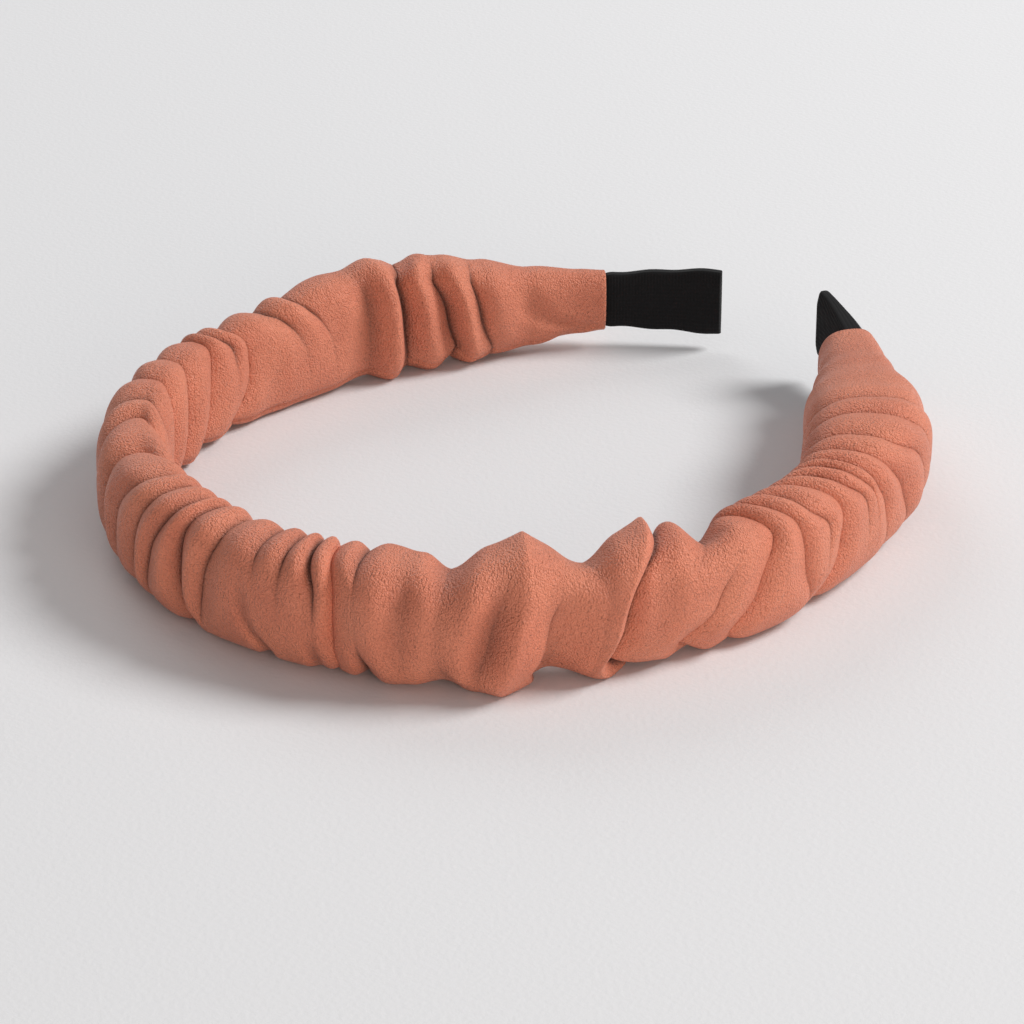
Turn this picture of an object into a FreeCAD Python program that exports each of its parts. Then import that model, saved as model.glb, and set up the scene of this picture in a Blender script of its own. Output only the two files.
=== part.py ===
import FreeCAD, Part
import math
import os

# A ruched spa headband: a springy hoop core with foam on both faces, inside a gathered
# faux-leather sleeve, and with a black ribbon folded over each end.
# Millimetres, +Z up. The hoop lies on its lower edge, as on a table at z = 0. The crown is
# at -Y and the two free ends are at +Y. The origin is on the table, under the middle.

Vector = FreeCAD.Vector

# Hoop path, from the crown to either tip: three tangent arcs as (radius, turn in degrees).
CROWN_ARC = (62.0, 56.5)
SIDE_ARC = (66.0, 33.0)
TAIL_ARC = (98.0, 61.5)
ARCS = (CROWN_ARC, SIDE_ARC, TAIL_ARC)

# Sleeve of faux leather. Its outer size at points along the path: signed length from the
# crown as a share of the sleeve's half (left end -1, right end +1), reach inward, reach
# outward and height. The gathers are bunched up most on the right arm.
SLEEVE_TALLEST = 21.0
CUFF_HEIGHT = 11.0
SLEEVE_SIZES = (
    (-1.00, 3.3, 3.3, CUFF_HEIGHT),
    (-0.98, 3.3, 3.3, CUFF_HEIGHT),
    (-0.82, 5.2, 6.0, 19.4),
    (-0.55, 5.6, 6.6, SLEEVE_TALLEST),
    (-0.35, 5.6, 7.4, SLEEVE_TALLEST),
    (0.00, 5.4, 6.8, SLEEVE_TALLEST),
    (0.55, 6.0, 7.0, SLEEVE_TALLEST),
    (0.80, 10.0, 10.0, SLEEVE_TALLEST),
    (0.90, 8.6, 8.6, 18.0),
    (0.98, 4.6, 4.4, CUFF_HEIGHT),
    (1.00, 4.6, 4.4, CUFF_HEIGHT),
)
SLEEVE_CORNER_SHARE = 0.32   # corner radius, as a share of the shorter side
SLEEVE_WALL = 1.3
CUFF_WALL = 0.8
TABLE_SINK = 0.5        # how far the soft lower edge is pressed flat
SINK_FALLOFF = 4        # how quickly that fades where the sleeve gets lower
CAVITY_OVERRUN = 4.0    # the cavity cutter runs this far out of each cuff
STATION_STEP = 7.0      # longest spacing of the sleeve's sections
CUTTER_REACH = 300.0    # larger than the whole headband

# Core: one springy plastic band on edge, narrower towards the tips.
CORE_THICK = 1.6
CORE_CROWN_HEIGHT = 15.0
CORE_TIP_HEIGHT = 6.0
CORE_END_RADIUS = 2.2

# Foam strips and the double-sided tapes that hold them to the core.
TAPE_THICK = 0.2
TAPE_HEIGHT = 10.0
OUTER_FOAM_THICK = 3.0
OUTER_FOAM_HEIGHT = 16.0
OUTER_FOAM_ROUND = 2.4
INNER_FOAM_THICK = 1.8
INNER_FOAM_HEIGHT = 14.0
INNER_FOAM_ROUND = 1.2
FOAM_SETBACK = 58.0     # from each tip to the end of the foam
TAPE_SETBACK = 60.0

# Ribbon ends.
RIBBON_SHOWN = 22.5     # length between the cuff's rim and the tip
RIBBON_TUCK = 10.0      # length hidden under the cuff
RIBBON_THICK = 0.6
RIBBON_GAP = 0.35       # room for the glue between ribbon and core
RIBBON_HEIGHT = 12.7
RIBBON_BLOCK = 20.0     # half the width of the block that gives the ribbon its side view
RIBBON_BEYOND = 2.0     # that block runs this far past the tip
RIBBON_PINCHED = 8.4    # height where the cuff squeezes it
RIBBON_POCKET = 7.8     # height of the pocket that holds the core
RIBBON_SHOULDER = 4.0   # length over which it opens out again
RIBBON_CORNER = 1.0
GLUE_THICK = 0.25
GLUE_LENGTH = 16.0
GLUE_HEIGHT = 5.0
GLUE_SETBACK = 6.0

# Thread.
SEAM_STITCH = 2.6
SEAM_PITCH = 4.0
SEAM_OFFSET = -2.4
SEAM_HEIGHT = 2.9
SEAM_SETBACK = 70.0
THREAD_RADIUS = 0.2
CUFF_STITCH = 1.6
CUFF_STITCH_PITCH = 2.4
CUFF_STITCH_COUNT = 3
CUFF_STITCH_RADIUS = 0.22
CUFF_STITCH_SETBACK = 0.8    # from the rim to the nearest end of a stitch
CLEARANCE = 0.1
TOLERANCE = 1e-6

MID_HEIGHT = SLEEVE_TALLEST / 2.0
ARC_LENGTHS = [radius * math.radians(turn) for radius, turn in ARCS]
HALF_LENGTH = sum(ARC_LENGTHS)
SLEEVE_END = HALF_LENGTH - RIBBON_SHOWN


def heading_frame(distance):
    """Point and heading on the right half of the path, at this distance from the crown."""
    x, y, heading = 0.0, 0.0, 0.0
    left = distance
    for index, (radius, turn) in enumerate(ARCS):
        last = index == len(ARCS) - 1
        sweep = left / radius if last else min(left / radius, math.radians(turn))
        centre_x = x - radius * math.sin(heading)
        centre_y = y + radius * math.cos(heading)
        heading += sweep
        x = centre_x + radius * math.sin(heading)
        y = centre_y - radius * math.cos(heading)
        left -= sweep * radius
        if left <= TOLERANCE:
            break
    return x, y, heading


def sleeve_size(s):
    """Reach inward, reach outward and height of the sleeve at s, eased between the sizes."""
    share = max(-1.0, min(1.0, s / SLEEVE_END))
    for low, high in zip(SLEEVE_SIZES, SLEEVE_SIZES[1:]):
        if share <= high[0]:
            break
    run = (share - low[0]) / (high[0] - low[0])
    run = run * run * (3.0 - 2.0 * run)
    return [a + (b - a) * run for a, b in zip(low[1:], high[1:])]


def crown_y():
    """Place of the crown on Y that centres the whole hoop, sleeve to ribbon ends, on Y = 0."""
    _x, tip_y, heading = heading_frame(HALF_LENGTH)
    ribbon_half = CORE_THICK / 2.0 + RIBBON_GAP + RIBBON_THICK
    front = -sleeve_size(0.0)[1]
    back = tip_y - ribbon_half * math.cos(heading)
    return -(front + back) / 2.0


CROWN_Y = crown_y()


def station(s, offset=0.0, z=0.0):
    """Point at signed path length s (right side +), offset outward, at height z."""
    side = 1.0 if s >= 0 else -1.0
    x, y, heading = heading_frame(abs(s))
    x += offset * math.sin(heading)
    y -= offset * math.cos(heading)
    return Vector(side * x, y + CROWN_Y, z)


def tangent(s):
    """Unit vector along the path towards larger s."""
    heading = heading_frame(abs(s))[2]
    side = 1.0 if s >= 0 else -1.0
    return Vector(math.cos(heading), side * math.sin(heading), 0.0)


def path_edges(s_from, s_to, offset):
    """The offset path between two signed lengths, as tangent arcs."""
    joins = [ARC_LENGTHS[0], ARC_LENGTHS[0] + ARC_LENGTHS[1]]
    breaks = [b for b in joins + [-j for j in joins] if s_from < b < s_to]
    stops = sorted([s_from, s_to] + breaks)
    edges = []
    for start, stop in zip(stops, stops[1:]):
        middle = (start + stop) / 2.0
        points = [station(s, offset) for s in (start, middle, stop)]
        edges.append(Part.Arc(*points).toShape())
    return edges


def ribbon(s_from, s_to, inner, outer, height):
    """A band on edge between two offsets of the path, centred on the mid height."""
    far = path_edges(s_from, s_to, outer)
    near = path_edges(s_from, s_to, inner)
    caps = [Part.makeLine(station(s, inner), station(s, outer)) for s in (s_from, s_to)]
    outline = Part.Wire(Part.sortEdges(far + near + caps)[0])
    solid = Part.Face(outline).extrude(Vector(0, 0, height))
    solid.translate(Vector(0, 0, MID_HEIGHT - height / 2.0))
    return solid


def round_edges(solid, radius, wanted):
    """Fillet the edges for which wanted(edge) is true."""
    return solid.makeFillet(radius, [edge for edge in solid.Edges if wanted(edge)])


def hoop_core():
    """Plastic band on edge: tapers from crown to tips, with rounded end corners."""
    end = HALF_LENGTH - RIBBON_GAP - RIBBON_THICK
    half = CORE_THICK / 2.0
    band = ribbon(-end, end, -half, half, CORE_CROWN_HEIGHT)
    reach = CUTTER_REACH
    drop = (CORE_CROWN_HEIGHT - CORE_TIP_HEIGHT) / 2.0
    low_y = CROWN_Y - half
    high_y = station(end).y
    for side in (1.0, -1.0):
        level = side * CORE_CROWN_HEIGHT / 2.0
        slope = -side * drop / (high_y - low_y)
        tall = side * CORE_CROWN_HEIGHT
        corners = [
            Vector(-reach, low_y, MID_HEIGHT + level),
            Vector(-reach, low_y + reach, MID_HEIGHT + level + slope * reach),
            Vector(-reach, low_y + reach, MID_HEIGHT + level + tall),
            Vector(-reach, low_y, MID_HEIGHT + level + tall),
        ]
        wedge = Part.Face(Part.makePolygon(corners + corners[:1]))
        band = band.cut(wedge.extrude(Vector(2.0 * reach, 0, 0)))
    tips = [station(side * end) for side in (1.0, -1.0)]

    def is_end_corner(edge):
        middle = edge.CenterOfMass
        apart = min(math.hypot(middle.x - tip.x, middle.y - tip.y) for tip in tips)
        return apart < half and edge.Length < CORE_TIP_HEIGHT / 2.0
    return round_edges(band, CORE_END_RADIUS, is_end_corner)


def foam(side, thickness, height, rounding):
    """Foam strip on the outer (+1) or inner (-1) face of the core."""
    base = CORE_THICK / 2.0 + TAPE_THICK
    end = HALF_LENGTH - FOAM_SETBACK
    near, far = side * base, side * (base + thickness)
    strip = ribbon(-end, end, min(near, far), max(near, far), height)
    arc_radii = [radius + far for radius, _turn in ARCS]

    def is_far_edge(edge):
        curve = edge.Curve
        return hasattr(curve, "Radius") and min(abs(curve.Radius - r) for r in arc_radii) < TOLERANCE
    return round_edges(strip, rounding, is_far_edge)


def tape(side):
    """Double-sided tape between the core and a foam strip."""
    end = HALF_LENGTH - TAPE_SETBACK
    near = side * CORE_THICK / 2.0
    far = near + side * TAPE_THICK
    return ribbon(-end, end, min(near, far), max(near, far), TAPE_HEIGHT)


def rounded_section(s, low_u, high_u, low_z, high_z, corner):
    """Rounded rectangle across the path at s."""
    def at(u, z):
        return station(s, u, z)

    def corner_arc(u, z, start):
        angles = [math.radians(start + turn) for turn in (0.0, 45.0, 90.0)]
        points = [at(u + corner * math.cos(a), z + corner * math.sin(a)) for a in angles]
        return Part.Arc(*points).toShape()
    left, right = low_u + corner, high_u - corner
    floor, ceiling = low_z + corner, high_z - corner
    edges = [
        Part.makeLine(at(left, low_z), at(right, low_z)),
        corner_arc(right, floor, 270.0),
        Part.makeLine(at(high_u, floor), at(high_u, ceiling)),
        corner_arc(right, ceiling, 0.0),
        Part.makeLine(at(right, high_z), at(left, high_z)),
        corner_arc(left, ceiling, 90.0),
        Part.makeLine(at(low_u, ceiling), at(low_u, floor)),
        corner_arc(left, floor, 180.0),
    ]
    return Part.Wire(edges)


def sleeve_section(s, inside):
    """Outline of the sleeve at s: its outer face, or its cavity."""
    reach_in, reach_out, height = sleeve_size(s)
    fullness = (height - CUFF_HEIGHT) / (SLEEVE_TALLEST - CUFF_HEIGHT)
    wall = (CUFF_WALL + (SLEEVE_WALL - CUFF_WALL) * fullness) if inside else 0.0
    sink = 0.0 if inside else TABLE_SINK * fullness ** SINK_FALLOFF
    corner = SLEEVE_CORNER_SHARE * min(reach_in + reach_out, height) - wall
    low_z = MID_HEIGHT - height / 2.0 + wall - sink
    high_z = MID_HEIGHT + height / 2.0 - wall
    return rounded_section(s, wall - reach_in, reach_out - wall, low_z, high_z, corner)


def sleeve_loft(end, inside):
    """Solid through the sleeve's sections from one end to the other."""
    knots = [size[0] * SLEEVE_END for size in SLEEVE_SIZES]
    knots = [-end] + [knot for knot in knots if -end < knot < end] + [end]
    stations = [-end]
    for low, high in zip(knots, knots[1:]):
        count = math.ceil((high - low) / STATION_STEP)
        stations += [low + (high - low) * (i + 1) / count for i in range(count)]
    return Part.makeLoft([sleeve_section(s, inside) for s in stations], True, False)


def ruched_sleeve():
    """Gathered faux-leather tube, resting flat on the table, open at both cuffs."""
    tube = sleeve_loft(SLEEVE_END, False)
    tube = tube.cut(sleeve_loft(SLEEVE_END + CAVITY_OVERRUN, True))
    reach = CUTTER_REACH
    table = Part.makeBox(2.0 * reach, 2.0 * reach, reach, Vector(-reach, -reach, -reach))
    return tube.cut(table)


def thread_bar(start, stop, radius):
    """A straight stretch of thread with round ends."""
    run = stop - start
    bar = Part.makeCylinder(radius, run.Length, start, run)
    return bar.fuse([Part.makeSphere(radius, start), Part.makeSphere(radius, stop)]).removeSplitter()


def sleeve_seam_thread():
    """Row of stitches that closes the sleeve along its lower inner edge, inside the tube."""
    end = HALF_LENGTH - SEAM_SETBACK
    count = int(2.0 * end // SEAM_PITCH)
    stitches = []
    for i in range(count + 1):
        middle = (i - count / 2.0) * SEAM_PITCH
        half = tangent(middle) * (SEAM_STITCH / 2.0)
        point = station(middle, SEAM_OFFSET, SEAM_HEIGHT)
        stitches.append(thread_bar(point - half, point + half, THREAD_RADIUS))
    return Part.makeCompound(stitches)


def ribbon_outline(side):
    """Side view of a ribbon end, as a thick block: pinched under the cuff, square at the tip."""
    tip = station(side * HALF_LENGTH, 0.0, MID_HEIGHT)
    back = tangent(side * HALF_LENGTH) * -side
    across = Vector(-back.y, back.x, 0.0)
    full, pinched = RIBBON_HEIGHT / 2.0, RIBBON_PINCHED / 2.0
    profile = [
        (-RIBBON_BEYOND, full),
        (RIBBON_SHOWN - RIBBON_SHOULDER, full),
        (RIBBON_SHOWN, pinched),
        (RIBBON_SHOWN + 2.0 * RIBBON_TUCK, pinched),
    ]
    upper = [tip + back * run + Vector(0, 0, rise) for run, rise in profile]
    lower = [tip + back * run - Vector(0, 0, rise) for run, rise in reversed(profile)]
    face = Part.Face(Part.makePolygon(upper + lower + upper[:1]))
    face.translate(across * -RIBBON_BLOCK)
    return face.extrude(across * (2.0 * RIBBON_BLOCK))


def end_ribbon(side):
    """Black ribbon folded over one end of the core, its edges joined into a pocket."""
    root = HALF_LENGTH - RIBBON_SHOWN - RIBBON_TUCK
    slot_half = CORE_THICK / 2.0 + RIBBON_GAP
    half = slot_half + RIBBON_THICK
    pocket_end = HALF_LENGTH - RIBBON_THICK
    pocket_root = root - RIBBON_THICK
    spans = sorted((side * root, side * HALF_LENGTH))
    pocket_spans = sorted((side * pocket_root, side * pocket_end))
    block = ribbon(spans[0], spans[1], -half, half, RIBBON_HEIGHT)
    pocket = ribbon(pocket_spans[0], pocket_spans[1], -slot_half, slot_half, RIBBON_POCKET)
    folded = block.cut(pocket).common(ribbon_outline(side))
    tip = station(side * HALF_LENGTH, 0.0, MID_HEIGHT)

    def is_tip_corner(edge):
        middle = edge.CenterOfMass
        flat = abs(edge.BoundBox.ZMax - edge.BoundBox.ZMin) < TOLERANCE
        near_tip = math.hypot(middle.x - tip.x, middle.y - tip.y) < RIBBON_THICK / 2.0
        return flat and near_tip
    return round_edges(folded, RIBBON_CORNER / 2.0, is_tip_corner)


def ribbon_glue(side):
    """Hot-melt pads between the ribbon and the two faces of the core."""
    start = side * (HALF_LENGTH - GLUE_SETBACK)
    stop = side * (HALF_LENGTH - GLUE_SETBACK - GLUE_LENGTH)
    spans = sorted((start, stop))
    near = CORE_THICK / 2.0 + (RIBBON_GAP - GLUE_THICK) / 2.0
    far = near + GLUE_THICK
    pads = [ribbon(spans[0], spans[1], near, far, GLUE_HEIGHT),
            ribbon(spans[0], spans[1], -far, -near, GLUE_HEIGHT)]
    return Part.makeCompound(pads)


def cuff_stitches(side):
    """Stitches on the ribbon's inner face, just inside the cuff's rim."""
    lie = -(CORE_THICK / 2.0 + RIBBON_GAP + RIBBON_THICK + CUFF_STITCH_RADIUS + CLEARANCE)
    first = SLEEVE_END - CUFF_STITCH - CUFF_STITCH_SETBACK
    stitches = []
    for i in range(CUFF_STITCH_COUNT):
        z = MID_HEIGHT + (i - (CUFF_STITCH_COUNT - 1) / 2.0) * CUFF_STITCH_PITCH
        start = station(side * first, lie, z)
        stop = station(side * (first + CUFF_STITCH), lie, z)
        stitches.append(thread_bar(start, stop, CUFF_STITCH_RADIUS))
    return Part.makeCompound(stitches)


def build():
    """Every piece by its node name."""
    pieces = {
        "hoop_core": hoop_core(),
        "outer_foam_tape": tape(1.0),
        "inner_foam_tape": tape(-1.0),
        "outer_foam": foam(1.0, OUTER_FOAM_THICK, OUTER_FOAM_HEIGHT, OUTER_FOAM_ROUND),
        "inner_foam": foam(-1.0, INNER_FOAM_THICK, INNER_FOAM_HEIGHT, INNER_FOAM_ROUND),
        "ruched_sleeve": ruched_sleeve(),
        "sleeve_seam_thread": sleeve_seam_thread(),
    }
    for name, side in (("left", -1.0), ("right", 1.0)):
        pieces[name + "_end_ribbon"] = end_ribbon(side)
        pieces[name + "_ribbon_glue"] = ribbon_glue(side)
        pieces[name + "_cuff_stitches"] = cuff_stitches(side)
    return pieces


os.makedirs("parts", exist_ok=True)
for node, shape in build().items():
    shape.exportStep(os.path.join("parts", node + ".step"))
    box = shape.BoundBox
    print(f"{node}: valid {shape.isValid()}, {len(shape.Solids)} solids, {shape.Volume:.1f} mm3, "
          f"x {box.XMin:.1f}..{box.XMax:.1f} y {box.YMin:.1f}..{box.YMax:.1f} "
          f"z {box.ZMin:.1f}..{box.ZMax:.1f}")
print(f"half length {HALF_LENGTH:.1f}, crown y {CROWN_Y:.2f}, tip {station(HALF_LENGTH)}")
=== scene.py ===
# Looks of the ruched spa headband. The gathered sleeve and the ribbon ends are built along the
# hoop's path, and the parts inside are cut from the CAD nodes. Lengths are millimetres until a
# mesh is made in metres. Numbers given to shader nodes are per metre or in metres.

import math

import bmesh
import bpy
import numpy as np
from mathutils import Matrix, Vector


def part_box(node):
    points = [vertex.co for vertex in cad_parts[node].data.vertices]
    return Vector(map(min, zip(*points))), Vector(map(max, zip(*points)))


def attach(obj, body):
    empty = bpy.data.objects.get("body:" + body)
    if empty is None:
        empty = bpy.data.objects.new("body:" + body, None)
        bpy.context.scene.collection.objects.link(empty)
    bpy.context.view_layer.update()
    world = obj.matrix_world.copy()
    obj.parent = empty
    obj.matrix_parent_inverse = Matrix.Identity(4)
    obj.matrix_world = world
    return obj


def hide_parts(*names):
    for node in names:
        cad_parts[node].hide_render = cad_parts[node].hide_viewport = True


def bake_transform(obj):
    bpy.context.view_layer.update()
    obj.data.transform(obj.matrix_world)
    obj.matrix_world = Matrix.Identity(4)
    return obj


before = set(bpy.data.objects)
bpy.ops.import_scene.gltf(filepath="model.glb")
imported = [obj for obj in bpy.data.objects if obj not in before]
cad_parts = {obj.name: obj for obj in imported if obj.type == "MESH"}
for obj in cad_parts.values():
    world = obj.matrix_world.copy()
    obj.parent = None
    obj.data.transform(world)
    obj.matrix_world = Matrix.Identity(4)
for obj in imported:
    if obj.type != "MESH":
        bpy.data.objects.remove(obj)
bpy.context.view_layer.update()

MM = 0.001
SEED = 7

# Hoop path, from the crown to either tip: three tangent arcs as (radius, turn in degrees).
ARCS = ((62.0, 56.5), (66.0, 33.0), (98.0, 61.5))
CORE_LOW, CORE_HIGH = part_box("hoop_core")
CORE_HALF = 0.8             # half the core's thickness
CROWN_Y = CORE_LOW.y / MM + CORE_HALF
MID_HEIGHT = (CORE_LOW.z + CORE_HIGH.z) / 2.0 / MM
HALF_LENGTH = sum(radius * math.radians(turn) for radius, turn in ARCS)
SLEEVE_LEFT, SLEEVE_RIGHT = -180.9, 189.2    # where the cuffs end

# Sleeve's section at places along the path: reach inward, reach outward, lowest and highest.
SLEEVE_SIZES = (
    (SLEEVE_LEFT, 3.1, 2.7, 3.8, 16.1),
    (-176.0, 3.2, 3.1, 3.2, 16.4),
    (-166.0, 4.4, 4.6, 1.2, 17.6),
    (-156.0, 7.4, 5.8, 0.0, 20.0),
    (-147.0, 7.0, 6.4, 0.0, 22.3),
    (-130.0, 6.6, 6.8, 0.0, 23.7),
    (-118.0, 6.0, 6.8, 0.0, 22.0),
    (-104.0, 5.8, 6.6, 0.0, 20.8),
    (-86.0, 6.2, 7.0, 0.0, 21.4),
    (-64.0, 5.2, 8.2, 0.0, 21.6),
    (-40.0, 5.9, 8.3, 0.0, 21.6),
    (-12.0, 6.6, 8.6, 0.0, 22.4),
    (20.0, 6.8, 9.2, 0.0, 22.6),
    (33.0, 6.8, 9.0, 0.0, 22.4),
    (45.0, 6.4, 9.0, 0.0, 22.0),
    (58.0, 6.6, 6.2, 0.0, 21.8),
    (78.0, 6.8, 6.7, 0.0, 22.0),
    (100.0, 7.4, 9.0, 0.0, 22.4),
    (118.0, 8.0, 8.6, 0.0, 21.6),
    (128.0, 9.0, 9.4, 0.0, 21.4),
    (140.0, 11.6, 11.2, 0.0, 21.6),
    (150.0, 12.6, 11.0, 0.0, 21.4),
    (160.0, 13.0, 9.0, 0.3, 20.4),
    (172.0, 10.8, 5.4, 2.0, 18.4),
    (180.0, 8.4, 4.9, 3.2, 17.5),
    (SLEEVE_RIGHT, 6.5, 5.2, 3.6, 17.2),
)
SQUARENESS = 2.7            # superellipse power of the section
OUTLINE_STEPS = 7201        # fine steps for spacing points evenly round the section
TYPICAL_REACH, TYPICAL_HALF = 6.5, 10.5
AROUND = 132                # mesh points round the sleeve
LEATHER_THICK = 0.5
LINING_STEP = 2.5
HEM_LENGTH, HEM_PULL = 4.0, 0.32    # the right cuff's lining is drawn in by this share
SEAM_ANGLE, SEAM_SPREAD, SEAM_DEPTH = 229.0, 3.2, 0.7    # degrees, degrees, mm

# How a fold is drawn from its row of the tables.
FOLD_DEPTH = 1.7            # mm per unit of depth
FOLD_LEAN = 2.0             # mm per unit of overhang
LIP_PEAK = 0.2              # where the overhang is greatest, as a share of the reach
LEAN_FULL_DEPTH = 1.6       # a crease this deep leans fully
TAKEOVER_DEPTH = 0.8        # a crease this deep ends its neighbour's reach
REACH_SCALE, GAP_SHARE = 1.25, 0.52
LEAST_APART = 0.7           # between the places of two creases
RIDGE_POWER = 1.7           # of a sharp crest
EASE_SPAN, EASE_WIDTH = 6, 3.0      # smoothing round the section, in mesh points
RELAX_SHARE = 0.4           # how far each mesh point moves towards its neighbours' mean
TABLE_EASE = 0.3            # how softly the sleeve meets the table

# Rows of mesh between two creases: closer together near the creases unless the gap is wide.
ROW_STEP, ROWS_LEAST, ROWS_MOST = 0.5, 5, 60
WIDE_GAP = 20
EVEN_SHARE, EASED_SHARE = 0.45, 0.55

# Unevenness over the folds: amplitude, wave length along the hoop, waves round the section.
PUFFS = (0.45, 13.0, 5)
DIMPLES = (0.07, 3.2, 9)
CUFF_CALM = 30.0            # it fades out over this length at each cuff

# Depth in the folds, which sets the painted shade that darkens the leather down in them.
RELIEF_STEP, RELIEF_SPAN, RELIEF_WIDTH = 0.25, 16, 1.6
RELIEF_MARGIN, RELIEF_RANGE = 6.0, 1.3
LEVEL_RELIEF = 0.5

# Places round the section, by angle: 0 faces outward, 90 is the top, 180 faces inward.
# Each fold is given at these eight. Underneath, it takes the mean of the first and the last.
KEY_ANGLES = (218.0, 178.0, 134.0, 90.0, 50.0, 25.0, -5.0, -38.0)
UNDER_ANGLE = -92.0

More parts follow.
